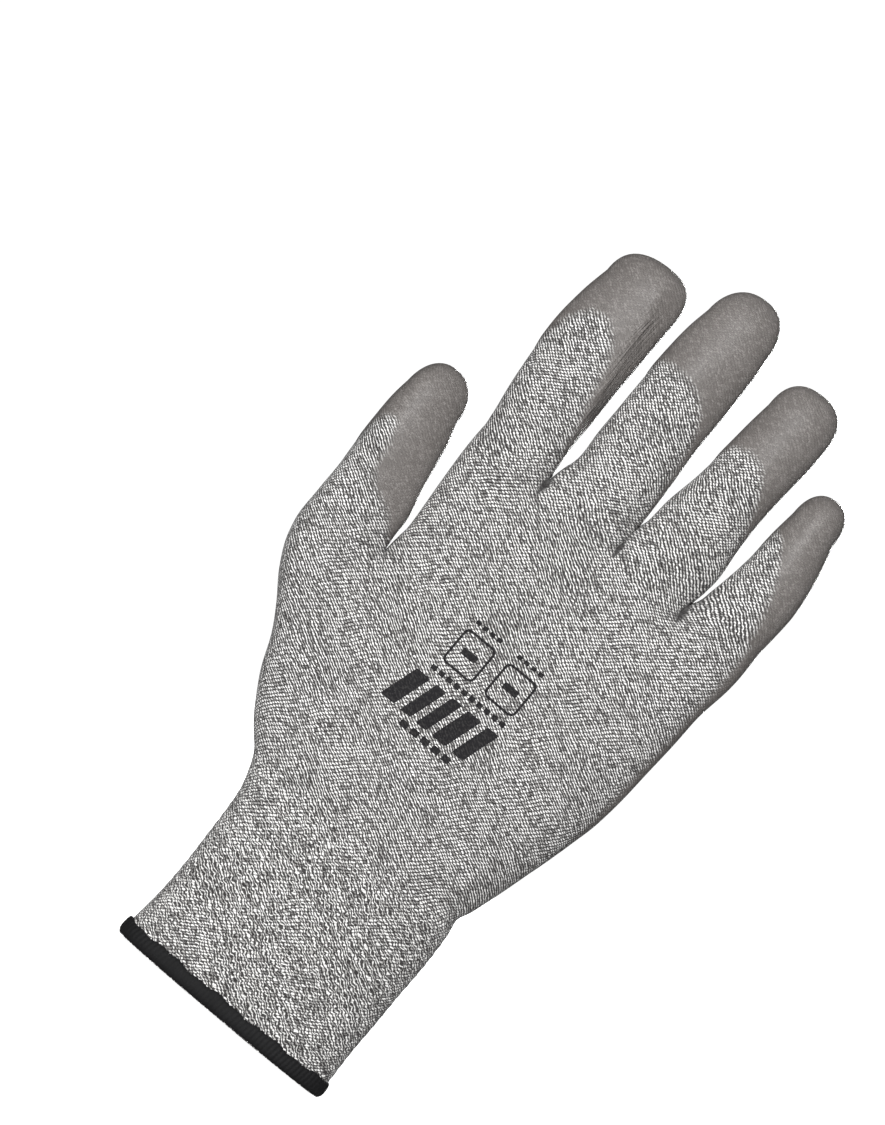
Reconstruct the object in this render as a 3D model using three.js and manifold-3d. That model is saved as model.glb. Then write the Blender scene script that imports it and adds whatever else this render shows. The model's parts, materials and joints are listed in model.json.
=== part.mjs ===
// Cut resistant work glove for the right hand: a seamless knitted liner with a polyurethane-dipped palm,
// fingers and fingertips, an elastic knitted cuff and an overlocked hem.
// Frame: origin in the middle of the cuff opening, +Z along the hand to the fingertips,
// the back of the hand faces -Y, the palm faces +Y, and the thumb is at -X. Millimetres.
import * as THREE from "three";
import { mergeVertices } from "three/addons/utils/BufferGeometryUtils.js";
import Module from "manifold-3d";

const wasm = await Module();
wasm.setup();

// Driving dimensions
const KNIT = 1.2; // wall of the knitted liner
const COAT = 0.5; // wall of the dipped coating
const GAP = 0.25; // clearance between the knit and the coating
const SPLIT = 0.3; // clearance between two pieces that bend against each other
const SKIN = COAT + GAP; // how far the knit lies below the outline of the glove
const HEM_HEIGHT = 4.5; // overlocked edge of the cuff
const HEM_WRAP = 0.9; // thread thickness of the overlocked edge
const HEM_CLEAR = 0.3; // clearance inside the overlocked edge
const WRIST_Z = 60; // bending line between the cuff and the palm
const WRIST_RELIEF = 11; // degrees taken off each face at the wrist, so that it bends both ways
const KNUCKLE_Z = 167; // bending line at the finger roots, the level of the crotches
const THUMB_Z = 126; // bending line at the thumb root
const COAT_START = 67; // height in the middle of the palm above which the palm is dipped
const ELASTIC_THREAD = 0.35; // radius of the elastic yarn of the cuff
const ELASTIC_TURNS = 6;
const ELASTIC_PITCH = 7.5;
const FINGER_SIDES = 16;
const HAND_SIDES = 32;

// Colours
const KNIT_COLOUR = 0xb9b4b4;
const COAT_COLOUR = 0x918c88;
const HEM_COLOUR = 0x1c1c1e;
const ELASTIC_COLOUR = 0xd8d6d2;
const PRINT_COLOUR = 0x3a3a3c;

// A station of a tube: height, left edge, right edge, half depth, depth offset, squareness of the loop.
const HAND = [
  [0, -35.2, 35.2, 12.0, 0, 2.3],
  [6, -34.3, 34.0, 12.0, 0, 2.3],
  [20, -33.2, 34.0, 12.0, 0, 2.3],
  [40, -33.8, 33.8, 12.2, 0, 2.3],
  [52, -35.2, 33.5, 12.4, 0, 2.4],
  [60, -39.0, 33.6, 12.8, 0, 2.4],
  [70, -41.0, 36.0, 13.2, 0, 2.5],
  [84, -42.5, 39.8, 13.4, 0, 2.6],
  [97, -43.5, 43.6, 13.2, 0, 2.7],
  [114, -44.4, 45.3, 12.6, 0, 2.8],
  [134, -45.0, 46.6, 11.5, 0, 3.0],
  [150, -46.0, 47.2, 10.2, 0, 3.4],
  [167, -47.2, 48.9, 8.9, 0, 4.0],
];
const THUMB_ROOT = [
  [56, -36.5, -8.0, 10.6, 0.6, 2.3],
  [68, -45.0, -15.0, 11.2, 0.9, 2.3],
  [77, -50.2, -20.0, 11.6, 1.2, 2.3],
  [88, -55.2, -26.0, 11.6, 1.4, 2.3],
  [95, -59.2, -31.0, 11.3, 1.5, 2.3],
  [102, -64.2, -36.5, 10.8, 1.6, 2.2],
  [109, -68.0, -41.5, 10.2, 1.7, 2.2],
  [116, -69.6, -45.0, 9.6, 1.8, 2.2],
  [130, -70.0, -46.4, 8.6, 2.0, 2.2],
];

// A finger: stations as above, height of the tip, height of its dome, where the dome leans to,
// the bending lines, and the height above which the coating goes right round.
const FINGERS = {
  thumb: {
    stations: [
      [120, -69.8, -46.2, 8.9, 1.9, 2.2],
      [134, -70.0, -46.6, 8.5, 2.1, 2.2],
      [148, -70.0, -50.0, 8.1, 2.5, 2.2],
      [162, -69.5, -53.0, 7.5, 3.2, 2.1],
    ],
    tip: 172,
    dome: 10,
    lean: -0.8,
    splits: [THUMB_Z, 148],
    dipped: 140,
  },
  index: {
    stations: [
      [160, -47.0, -24.8, 8.3, 0.2, 2.3],
      [175, -48.2, -24.8, 8.1, 0.3, 2.3],
      [195, -49.7, -25.0, 7.8, 1.1, 2.2],
      [209, -49.5, -25.4, 7.5, 2.0, 2.2],
      [219, -47.6, -26.0, 7.1, 2.8, 2.1],
    ],
    tip: 229.5,
    dome: 10.5,
    lean: 3.0,
    splits: [KNUCKLE_Z, 188, 209],
    dipped: 206,
  },
  middle: {
    stations: [
      [160, -23.2, 1.7, 8.3, 0.2, 2.3],
      [180, -22.4, 1.5, 8.1, 0.4, 2.3],
      [200, -22.5, 0.9, 7.8, 1.3, 2.2],
      [215, -21.9, 0.5, 7.5, 2.3, 2.2],
      [228, -20.3, -0.8, 7.0, 3.4, 2.1],
    ],
    tip: 239.4,
    dome: 11.4,
    lean: 1.0,
    splits: [KNUCKLE_Z, 191, 215],
    dipped: 208,
  },
  ring: {
    stations: [
      [160, 2.9, 27.0, 8.3, 0.2, 2.3],
      [182, 4.0, 26.4, 8.1, 0.5, 2.3],
      [196, 5.8, 26.2, 7.8, 1.1, 2.2],
      [208, 6.9, 26.6, 7.5, 1.9, 2.2],
      [219, 8.5, 27.1, 7.1, 2.8, 2.1],
    ],
    tip: 229.6,
    dome: 10.6,
    lean: 0.8,
    splits: [KNUCKLE_Z, 187, 208],
    dipped: 203,
  },
  little: {
    stations: [
      [160, 28.2, 48.6, 8.2, 0.2, 2.3],
      [172, 28.2, 49.2, 7.9, 0.3, 2.3],
      [184, 30.2, 48.7, 7.5, 0.8, 2.2],
      [196, 31.3, 46.4, 7.0, 1.6, 2.2],
      [201, 32.0, 45.3, 6.7, 2.0, 2.1],
    ],
    tip: 210.4,
    dome: 9.4,
    lean: 0.3,
    splits: [KNUCKLE_Z, 181, 196],
    dipped: 192,
  },
};

// The loop of a tube at height z.
function sectionAt(stations, z) {
  let i = 0;
  while (i < stations.length - 2 && z > stations[i + 1][0]) i += 1;
  const [lower, upper] = [stations[i], stations[i + 1]];
  const t = (z - lower[0]) / (upper[0] - lower[0]);
  const [, left, right, b, y, p] = lower.map((v, k) => v + (upper[k] - v) * t);
  return { x: (left + right) / 2, a: (right - left) / 2, b, y, p, z };
}

// One loop of points, drawn in by `inset` from the outline.
function loop(s, inset, sides) {
  const points = [];
  for (let i = 0; i < sides; i += 1) {
    const t = ((i + 0.5) / sides) * 2 * Math.PI;
    const [c, n] = [Math.cos(t), Math.sin(t)];
    const x = s.x + (s.a - inset) * Math.sign(c) * Math.abs(c) ** (2 / s.p);
    const y = s.y + (s.b - inset) * Math.sign(n) * Math.abs(n) ** (2 / s.p);
    points.push([x, y, s.z]);
  }
  return points;
}

// A three.js geometry as a solid that can be joined and cut.
function solidOf(geometry) {
  geometry.deleteAttribute("normal");
  geometry.deleteAttribute("uv");
  const merged = mergeVertices(geometry, 1e-4);
  const vertProperties = merged.getAttribute("position").array;
  const triVerts = new Uint32Array(merged.index.array);
  return new wasm.Manifold(new wasm.Mesh({ numProp: 3, vertProperties, triVerts }));
}

// A solid through a stack of loops of equal length, flat at both ends.
function loft(loops) {
  const sides = loops[0].length;
  const points = loops.flat();
  const triangles = [];
  for (let k = 0; k < loops.length - 1; k += 1) {
    for (let i = 0; i < sides; i += 1) {
      const j = (i + 1) % sides;
      const [p, q] = [k * sides, (k + 1) * sides];
      triangles.push(p + i, p + j, q + j, p + i, q + j, q + i);
    }
  }
  const middle = (ring) => [0, 1, 2].map((k) => ring.reduce((sum, v) => sum + v[k], 0) / sides);
  const bottom = points.push(middle(loops[0])) - 1;
  const top = points.push(middle(loops.at(-1))) - 1;
  const last = (loops.length - 1) * sides;
  for (let i = 0; i < sides; i += 1) {
    const j = (i + 1) % sides;
    triangles.push(bottom, j, i, top, last + i, last + j);
  }
  const geometry = new THREE.BufferGeometry();
  geometry.setAttribute("position", new THREE.Float32BufferAttribute(points.flat(), 3));
  geometry.setIndex(triangles);
  return solidOf(geometry);
}

// A length of tube between two heights, with a loop at each end and at each station between them.
function tube(stations, z0, z1, inset, sides) {
  const between = stations.map((s) => s[0]).filter((z) => z > z0 + 1 && z < z1 - 1);
  return loft([z0, ...between, z1].map((z) => loop(sectionAt(stations, z), inset, sides)));
}

// The domed end of a finger, from height z0 up to its tip.
function fingertip(finger, z0, inset, sides) {
  const { stations, tip, dome, lean } = finger;
  const base = tip - dome;
  const between = stations.map((s) => s[0]).filter((z) => z > z0 + 1 && z < base - 1);
  const loops = [z0, ...between].map((z) => loop(sectionAt(stations, z), inset, sides));
  const root = sectionAt(stations, base);
  for (const degrees of [0, 28, 52, 70, 82]) {
    const turn = THREE.MathUtils.degToRad(degrees);
    const shrink = Math.cos(turn);
    const rise = Math.sin(turn);
    const s = { ...root };
    s.x += lean * (1 - shrink);
    s.y += 0.6 * rise;
    s.a = (root.a - inset) * shrink;
    s.b = (root.b - inset) * shrink;
    s.z = base + (dome - inset) * rise;
    loops.push(loop(s, 0, sides));
  }
  return loft(loops);
}

// A block between two corners, used to cut.
function block(low, high) {
  const size = high.map((v, k) => v - low[k]);
  const centre = high.map((v, k) => (v + low[k]) / 2);
  return solidOf(new THREE.BoxGeometry(...size).translate(...centre));
}

const group = new THREE.Group();

function add(name, solid, colour, roughness) {
  const mesh = solid.getMesh();
  const geometry = new THREE.BufferGeometry();
  const stride = mesh.numProp;
  const position = new Float32Array(mesh.numVert * 3);
  for (let i = 0; i < mesh.numVert; i += 1) {
    position.set(mesh.vertProperties.subarray(i * stride, i * stride + 3), i * 3);
  }
  geometry.setAttribute("position", new THREE.BufferAttribute(position, 3));
  geometry.setIndex(new THREE.BufferAttribute(mesh.triVerts, 1));
  const material = new THREE.MeshStandardMaterial({ color: colour, roughness });
  const made = new THREE.Mesh(geometry, material);
  made.name = name;
  group.add(made);
}

const addKnit = (name, solid) => add(name, solid, KNIT_COLOUR, 0.95);
const addCoat = (name, solid) => add(name, solid, COAT_COLOUR, 0.5);

// The room that the wrist needs to bend: two wedges that meet on the middle plane of the cuff.
const reach = 30;
const relief = Math.tan(THREE.MathUtils.degToRad(WRIST_RELIEF)) * reach;
const wedges = new THREE.Shape([
  new THREE.Vector2(-reach, WRIST_Z - relief),
  new THREE.Vector2(0, WRIST_Z - SPLIT / 2),
  new THREE.Vector2(reach, WRIST_Z - relief),
  new THREE.Vector2(reach, WRIST_Z + relief),
  new THREE.Vector2(0, WRIST_Z + SPLIT / 2),
  new THREE.Vector2(-reach, WRIST_Z + relief),
]);
const wedgeBlock = new THREE.ExtrudeGeometry(wedges, { depth: 200, bevelEnabled: false });
wedgeBlock.translate(0, 0, -100);
wedgeBlock.rotateX(Math.PI / 2);
wedgeBlock.rotateZ(Math.PI / 2);
const wristRoom = solidOf(wedgeBlock);

// The palm with the root of the thumb, as a solid drawn in by `inset`.
const palmSolid = (inset, top, thumbTop) =>
  tube(HAND, WRIST_Z - 12, top, inset, HAND_SIDES).add(
    tube(THUMB_ROOT, 57, thumbTop, inset, FINGER_SIDES + 4),
  );
const belowWrist = block([-100, -40, 0], [100, 40, WRIST_Z - 0.05]);
const palmTop = KNUCKLE_Z - SPLIT / 2;
const thumbTop = THUMB_Z - SPLIT / 2;
let palm = palmSolid(SKIN, palmTop, thumbTop);
palm = palm.subtract(palmSolid(SKIN + KNIT, palmTop - KNIT, thumbTop + 1));
for (const name of ["index", "middle", "ring", "little"]) {
  const { stations } = FINGERS[name];
  palm = palm.subtract(tube(stations, KNUCKLE_Z - 6, KNUCKLE_Z + 1, SKIN + KNIT, FINGER_SIDES));
}
palm = palm.subtract(wristRoom).subtract(belowWrist);
addKnit("palm_liner", palm);

// The dipped palm, up over both edges of the hand and down to a little above the wrist.
let palmCoat = palmSolid(0, palmTop, thumbTop).subtract(
  palmSolid(COAT, palmTop + 1, thumbTop + 1),
);
palmCoat = palmCoat.subtract(block([-100, -40, 0], [100, -1, 200]));
const coatEdge = new THREE.BoxGeometry(200, 80, COAT_START);
coatEdge.translate(0, 0, -COAT_START / 2);
coatEdge.rotateY(THREE.MathUtils.degToRad(-4));
coatEdge.translate(0, 0, COAT_START);
addCoat("palm_coating", palmCoat.subtract(solidOf(coatEdge)));

// The cuff, its overlocked edge and its elastic yarn.
const cuffTop = WRIST_Z + 6;
let cuff = tube(HAND, HEM_WRAP + HEM_CLEAR, cuffTop, SKIN, HAND_SIDES);
cuff = cuff.subtract(tube(HAND, -1, cuffTop + 1, SKIN + KNIT, HAND_SIDES));
const aboveWrist = block([-100, -40, WRIST_Z + 0.05], [100, 40, 100]);
addKnit("cuff_liner", cuff.subtract(wristRoom).subtract(aboveWrist));

const hemOut = SKIN - HEM_WRAP - HEM_CLEAR;
const hemIn = SKIN + KNIT + HEM_WRAP + HEM_CLEAR;
const hemRing = tube(HAND, 0, HEM_HEIGHT, hemOut, HAND_SIDES).subtract(
  tube(HAND, -1, HEM_HEIGHT + 1, hemIn, HAND_SIDES),
);
const hemSlot = tube(HAND, HEM_WRAP, HEM_HEIGHT + 2, SKIN - HEM_CLEAR, HAND_SIDES).subtract(
  tube(HAND, HEM_WRAP - 1, HEM_HEIGHT + 3, SKIN + KNIT + HEM_CLEAR, HAND_SIDES),
);
add("hem_binding", hemRing.subtract(hemSlot), HEM_COLOUR, 0.9);

const elasticInset = SKIN + KNIT + GAP + ELASTIC_THREAD;
const path = [];
const steps = 24;
for (let i = 0; i <= ELASTIC_TURNS * steps; i += 1) {
  const s = sectionAt(HAND, 7 + (i / steps) * ELASTIC_PITCH);
  const t = (i / steps) * 2 * Math.PI;
  const x = s.x + (s.a - elasticInset - 0.35) * Math.cos(t);
  const y = (s.b - elasticInset - 0.35) * Math.sin(t);
  path.push([x, y, s.z]);
}
const loops = path.map(([x, y, z], i) => {
  const [ax, ay] = path[Math.max(i - 1, 0)];
  const [bx, by] = path[Math.min(i + 1, path.length - 1)];
  const long = Math.hypot(bx - ax, by - ay);
  const [nx, ny] = [(by - ay) / long, (ax - bx) / long];
  return [0, 1, 2, 3].map((k) => {
    const r = ELASTIC_THREAD * Math.cos((k * Math.PI) / 2);
    return [x - r * nx, y - r * ny, z + ELASTIC_THREAD * Math.sin((k * Math.PI) / 2)];
  });
});
add("cuff_elastic", loft(loops), ELASTIC_COLOUR, 0.8);

// The printed panel on the back of the hand: a thin ink layer with a plain frame.
const printFace = block([-19, -40, 94], [11, 40, 126]);
const printWindow = block([-16, -41, 97], [8, 41, 123]);
let print = tube(HAND, 90, 130, SKIN - GAP - 0.3, HAND_SIDES).subtract(
  tube(HAND, 89, 131, SKIN - GAP, HAND_SIDES),
);
print = print.intersect(printFace).subtract(printWindow).subtract(block([-90, 0, 0], [90, 90, 200]));
add("back_print", print, PRINT_COLOUR, 0.7);

// The fingers and the thumb: one knitted piece and one coated piece for each part that bends.
for (const [name, finger] of Object.entries(FINGERS)) {
  const { stations, splits, dipped, tip } = finger;
  splits.forEach((split, k) => {
    const end = splits[k + 1];
    const isTip = end === undefined;
    const z0 = split + SPLIT / 2;
    const label = name + "_" + ["root", "middle", "tip"][isTip ? 2 : k];
    const solid = (inset, start, over) =>
      isTip
        ? fingertip(finger, start, inset, FINGER_SIDES)
        : tube(stations, start, end - SPLIT / 2 + over, inset, FINGER_SIDES);
    addKnit(label + "_liner", solid(SKIN, z0, 0).subtract(solid(SKIN + KNIT, z0 - 1, 1)));
    let coat = solid(0, z0, 0).subtract(solid(COAT, z0 - 1, 1));
    const middle = sectionAt(stations, (split + (end ?? tip)) / 2);
    if (dipped > z0) coat = coat.subtract(block([-100, -40, 0], [100, middle.y - 1.5, dipped]));
    addCoat(label + "_coating", coat);
  });
}

export default group;
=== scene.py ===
import json
import math

import bpy
import numpy as np
from mathutils import Matrix, Vector


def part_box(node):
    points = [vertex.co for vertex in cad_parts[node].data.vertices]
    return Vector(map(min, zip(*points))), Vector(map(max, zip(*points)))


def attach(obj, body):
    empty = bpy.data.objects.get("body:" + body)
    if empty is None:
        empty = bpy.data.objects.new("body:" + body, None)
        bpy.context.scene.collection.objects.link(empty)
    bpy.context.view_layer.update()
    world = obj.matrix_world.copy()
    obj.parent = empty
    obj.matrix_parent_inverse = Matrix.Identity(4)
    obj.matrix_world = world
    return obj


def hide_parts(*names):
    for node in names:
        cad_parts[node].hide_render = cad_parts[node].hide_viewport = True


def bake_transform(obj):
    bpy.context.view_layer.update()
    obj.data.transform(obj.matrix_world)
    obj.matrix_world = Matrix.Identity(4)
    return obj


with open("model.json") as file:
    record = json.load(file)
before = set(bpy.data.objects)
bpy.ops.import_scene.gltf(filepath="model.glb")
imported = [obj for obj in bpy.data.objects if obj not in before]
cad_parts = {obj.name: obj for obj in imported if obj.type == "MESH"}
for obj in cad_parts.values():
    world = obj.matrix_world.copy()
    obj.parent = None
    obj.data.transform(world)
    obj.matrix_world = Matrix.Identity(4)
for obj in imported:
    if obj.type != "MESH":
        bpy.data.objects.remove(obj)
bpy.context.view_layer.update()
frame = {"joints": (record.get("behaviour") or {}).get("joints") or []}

MM = 0.001

# ---- camera, in metres
PHOTO_WIDTH = 0.236  # what the view takes in across, at the glove
PHOTO_CENTRE = (-0.0317, 0.0, 0.1307)
PHOTO_LEAN = math.radians(40)  # how far the glove leans to the right in the view
CAMERA_DISTANCE = 1.7
SENSOR = 36.0
MIDDLE = (-0.01, 0, 0.12)  # where the lights point


def make_camera():
    """Looks at the back of the hand, straight on."""
    data = bpy.data.cameras.new("camera")
    data.sensor_fit = "HORIZONTAL"
    data.sensor_width = SENSOR
    data.lens = SENSOR * CAMERA_DISTANCE / PHOTO_WIDTH
    data.clip_end = 100
    camera = bpy.data.objects.new("camera", data)
    right = Vector((math.cos(PHOTO_LEAN), 0, math.sin(PHOTO_LEAN)))
    up = Vector((-math.sin(PHOTO_LEAN), 0, math.cos(PHOTO_LEAN)))
    back = Vector((0, -1, 0))
    turn = Matrix((right, up, back)).transposed().to_4x4()
    place = Vector(PHOTO_CENTRE) + back * CAMERA_DISTANCE
    camera.matrix_world = Matrix.Translation(place) @ turn
    bpy.context.scene.collection.objects.link(camera)
    bpy.context.scene.camera = camera


make_camera()

# ---- dimensions, in millimetres
WALL = 1.1  # knit
FILM, FILM_EDGE = 0.36, 0.03  # coating over the knit, and at its edge
INK_RISE = 0.06  # ink over the knit
WALE = 1.45  # stitch width
COURSE = 1.02  # stitch height
STROKE_LENGTH, STROKE_WIDTH = 0.6, 0.27  # half of what one leg of a stitch shows
BIAS = 0.22  # lean of the wales over the palm
BIAS_FROM, BIAS_TO = 25, 160  # heights in the knit between which they lean
BACK_SHIFT = 400 * WALE  # knit coordinate of the palm side, so that it has stitches of its own
STEP = 1.15  # spacing of the rows of the mesh
DOME_ROWS = 14  # rows over a fingertip
DOME_OFFSET = 0.7  # how far a fingertip leans towards the palm
SIDES_COUNT = 16  # height over which the sides of a digit come to count in its knit coordinate
COLUMNS = 26  # columns across the front of a digit
CUFF_END = 44.0  # rigid part of the cuff
PALM_START = 76.0  # rigid part of the palm
THUMB_CROTCH = 123.5
FINGER_CROTCH = 166.5
LITTLE_CROTCH = 164.3  # once the skin is shaped, the crotch beside the little finger is lower
CROTCHES = (FINGER_CROTCH, FINGER_CROTCH, LITTLE_CROTCH)
FINGER_WEB, FINGER_WIDEN = 30, 26  # how far below the crotches the fingers' roundness is seen
THUMB_WEB = 58
DIGIT_POWER = 2.15  # squareness of a digit's section
SAME = 0.01  # heights nearer than this are one height
DIGITS = ["thumb", "index", "middle", "ring", "little"]
# How far the crest of a digit lies to the left of its middle, as a share of half its width.
SKEW = {"thumb": 0.3}

# Outline of each digit above its crotch: height, left edge, right edge, half depth, palmar offset.
OUTLINE = {
    "thumb": [
        (123.5, -69.8, -45.5, 8.9, 0.0), (126.5, -70.0, -46.0, 8.8, 0.1),
        (133, -70.1, -46.4, 8.6, 0.4), (141.5, -70.1, -48.7, 8.3, 0.8),
        (151, -70.0, -50.3, 7.9, 1.3), (156.5, -69.9, -51.4, 7.7, 1.6),
        (162, -69.5, -53.0, 7.4, 2.0),
    ],
    "index": [
        (166.5, -46.9, -24.0, 8.2, 0.0), (168.5, -47.2, -24.35, 8.2, 0.1),
        (171.5, -47.6, -24.6, 8.15, 0.2), (175, -48.1, -24.9, 8.1, 0.3),
        (185, -49.1, -25.0, 8.0, 0.7), (195, -49.7, -25.1, 7.8, 1.1),
        (204, -49.9, -25.3, 7.6, 1.6), (211, -49.3, -25.6, 7.4, 2.1),
        (219, -47.7, -26.0, 7.1, 2.8),
    ],
    "middle": [
        (166.5, -24.0, 2.0, 8.3, 0.0), (168.5, -23.65, 1.8, 8.2, 0.1),
        (171.5, -23.0, 1.6, 8.15, 0.2), (175, -22.3, 1.5, 8.1, 0.3), (184, -22.5, 1.3, 8.0, 0.6),
        (204, -22.5, 0.8, 7.8, 1.6), (214, -22.0, 0.5, 7.6, 2.2), (221, -21.3, 0.1, 7.3, 2.7),
        (228, -20.2, -0.8, 7.0, 3.3),
    ],
    "ring": [
        (166.5, 2.0, 26.0, 8.2, 0.0), (168.5, 2.3, 26.4, 8.2, 0.1), (171, 2.9, 26.9, 8.15, 0.2),
        (174, 3.5, 27.2, 8.1, 0.3), (182, 4.0, 26.3, 8.0, 0.5), (192, 5.5, 25.7, 7.9, 0.9),
        (204, 6.6, 26.2, 7.6, 1.6), (212, 7.5, 26.8, 7.4, 2.2), (219, 8.5, 27.0, 7.1, 2.8),
    ],
    "little": [
        (166.5, 26.0, 48.7, 8.1, 0.0), (168.5, 27.4, 48.9, 8.0, 0.1), (174, 28.6, 49.1, 7.8, 0.2),
        (180, 29.8, 49.0, 7.6, 0.5), (186, 30.5, 48.3, 7.4, 0.9), (194, 31.1, 46.7, 7.0, 1.5),
        (201, 31.8, 45.0, 6.7, 2.0),
    ],
}
# Rounded end of each digit: tip, height of the dome, squareness, how far it leans sideways.
TIPS = {
    "thumb": (172.2, 10.2, 2.25, -0.6),
    "index": (229.6, 10.6, 2.7, 2.6),
    "middle": (239.5, 11.5, 2.3, 0.6),
    "ring": (229.7, 10.7, 2.6, 0.6),
    "little": (210.5, 9.5, 2.4, 0.2),
}
# Lines where each digit bends, from the frame's joints.
BENDS = {
    digit: sorted(j["pos_m"][2] / MM for j in frame["joints"] if j["name"].startswith(digit))
    for digit in DIGITS
}

# Whole width of cuff and hand up to the thumb crotch: height, left, right, half depth, squareness.
HAND = [
    (0, -34.4, 34.2, 12.0, 2.3), (6, -33.9, 33.9, 12.0, 2.3), (14, -33.2, 33.8, 12.0, 2.3),
    (34, -33.2, 33.6, 12.1, 2.3), (44, -33.9, 33.6, 12.2, 2.3), (52, -34.8, 33.5, 12.3, 2.4),
    (57, -36.6, 33.4, 12.4, 2.4), (61, -39.4, 33.7, 12.6, 2.4), (68, -44.8, 35.2, 13.1, 2.5),
    (76, -49.7, 37.2, 13.4, 2.5), (88, -55.3, 40.8, 13.4, 2.6), (95, -59.4, 42.8, 13.3, 2.6),
    (102, -64.3, 44.5, 13.1, 2.6), (108, -67.6, 45.2, 12.9, 2.6), (114, -69.2, 45.6, 12.7, 2.6),
    (123.5, -69.8, 46.0, 12.4, 2.7),
]
# The palm without the thumb, above the thumb crotch.
PALM = [
    (110, -45.5, 45.4, 12.8, 2.8), (123.5, -45.5, 46.0, 12.3, 2.9), (134, -45.1, 46.4, 11.7, 3.0),
    (146, -45.6, 46.7, 10.8, 3.2), (156, -46.2, 47.6, 9.9, 3.4), (166.5, -46.9, 48.7, 9.0, 3.8),
]
# Inner edge of the ball of the thumb, down the hand, and half depth of the thumb's root.
THUMB_LINE = [
    (0, -20.8), (56, -23.5), (66, -27.5), (75, -31.5), (85, -36), (95, -40), (105, -43),
    (115, -45), (123.5, -45.5),
]
THUMB_DEPTH = [
    (0, 11.0), (56, 11.0), (88, 11.3), (100, 10.8), (109, 10.2), (116, 9.6), (123.5, 8.9),
]
# Lines between the fingers, in the cuff and at the crotches.
FINGER_LINES_CUFF = [-7.0, 7.0, 20.6]
FINGER_LINES_PALM = [-24.0, 2.0, 26.0]

# The uncoated knit on the back of each digit, as its outline (x, height) up from the crotch.
BARE = {
    "thumb": [
        (-71.5, 112), (-71.2, 140), (-69.2, 145), (-66, 149.5), (-63, 151), (-61, 146),
        (-60, 139), (-56, 134), (-51, 131), (-47.5, 126.5), (-45.3, 123), (-45.3, 112),
    ],
    "index": [
        (-48.4, 156), (-51, 188), (-48.6, 196), (-46.4, 203), (-43.5, 206.6), (-40, 207.5),
        (-36.5, 204.5), (-33.4, 199), (-31, 189), (-28, 179), (-24.4, 167), (-23.8, 156),
    ],
    "middle": [
        (-24.2, 156), (-24.4, 190), (-23.2, 203), (-21.4, 208), (-18, 209.3), (-13, 209),
        (-8.5, 207), (-4.8, 203.5), (-2.2, 198), (-0.9, 192), (0.3, 179), (1.9, 167),
        (2.2, 156),
    ],
    "ring": [
        (1.8, 156), (3.2, 190), (5.9, 198), (8.2, 203), (12, 204.4), (16, 203.6), (19.3, 200),
        (22, 194), (25, 186), (26.6, 178), (26.8, 167), (26.2, 156),
    ],
    "little": [
        (25.8, 156), (29, 184), (31.4, 193.4), (33.4, 192.2), (35.2, 189), (38, 184), (41, 176),
        (42.6, 169), (43.6, 160), (44, 156),
    ],
}
# How far the coating comes round the little finger's edge on to the back, down the hand,
# and round the thumb's edge (negative: its edge lies on the palm side).
WRAP_RIGHT = [
    (0, -5), (66, -4), (78, -1), (90, 2.5), (100, 5.0), (112, 6.4), (140, 6.8),
    (156, 7.6), (167, 8.4),
]
WRAP_LEFT = [(0, -4.0), (90, -3.0), (123.5, -2.4), (170, -2.2)]
# Length round the front of a digit, and how far off an edge counts as out of reach.
FRONT_ARC = {"thumb": 31.0, "index": 31.0, "middle": 31.0, "ring": 31.0, "little": 28.0}
OUT_OF_REACH = 30.0
UNROLLED_WIDTH = 24.0  # width of a digit beyond its edges, where BARE goes round them
FILM_REACH = 6  # distances from the edge of the coating are kept up to this


# ---- curves
def curve(points, z, column=1):
    """A smooth curve through (height, value, ...) points."""
    table = np.array(points, float)
    heights, values = table[:, 0], table[:, column]
    slopes = np.gradient(values, heights)
    z = np.clip(z, heights[0], heights[-1])
    i = np.clip(np.searchsorted(heights, z) - 1, 0, len(heights) - 2)
    gap = heights[i + 1] - heights[i]
    t = (z - heights[i]) / gap
    rise = 3 * t**2 - 2 * t**3
    ease_in = t**3 - 2 * t**2 + t
    ease_out = t**3 - t**2
    return (
        values[i] * (1 - rise)
        + values[i + 1] * rise
        + gap * (slopes[i] * ease_in + slopes[i + 1] * ease_out)
    )


def values_at(table, z, first=1):
    """A table's values at one height, from that column on."""
    return [float(curve(table, z, k)) for k in range(first, len(table[0]))]


def smooth(t):
    """0 below 0, 1 above 1, and a smooth step between."""
    t = np.clip(t, 0, 1)
    return t * t * (3 - 2 * t)


def waves(points, length, seed):
    """Smooth, repeatable unevenness between about -1 and 1, with features of that length."""
    rng = np.random.default_rng(seed)
    total = np.zeros(len(points))
    for _ in range(9):
        direction = rng.normal(size=3)
        direction /= np.linalg.norm(direction)
        pitch = length * rng.uniform(0.7, 1.5)
        total += np.sin(points @ direction * (2 * np.pi / pitch) + rng.uniform(0, 2 * np.pi))
    return total / 4.2


# ---- the skin of the glove as a grid
def round_loop(left, right, depth, power, t):
    """A squarish oval: x and front depth at the angles t, and the length along it."""
    c, s = np.cos(t), np.sin(t)
    x = (left + right) / 2 - (right - left) / 2 * np.sign(c) * np.abs(c) ** (2 / power)
    h = depth * np.sign(s) * np.abs(s) ** (2 / power)
    return x, h, np.concatenate([[0], np.cumsum(np.hypot(np.diff(x), np.diff(h)))])


def arc_columns(left, right, depth, power, lines):
    """Evenly spaced columns over the front of a loop, one group between each two lines."""
    x, h, along = round_loop(left, right, depth, power, np.linspace(0, np.pi, 481))
    stops = np.interp([left, *lines, right], x, along)
    xs, hs = [], []
    for a, b in zip(stops[:-1], stops[1:]):
        places = np.linspace(a, b, COLUMNS + 1)
        xs.append(np.interp(places, along, x))
        hs.append(np.interp(places, along, h))
    hs[0][0] = hs[-1][-1] = 0.0
    return np.array(xs), np.array(hs)


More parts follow.
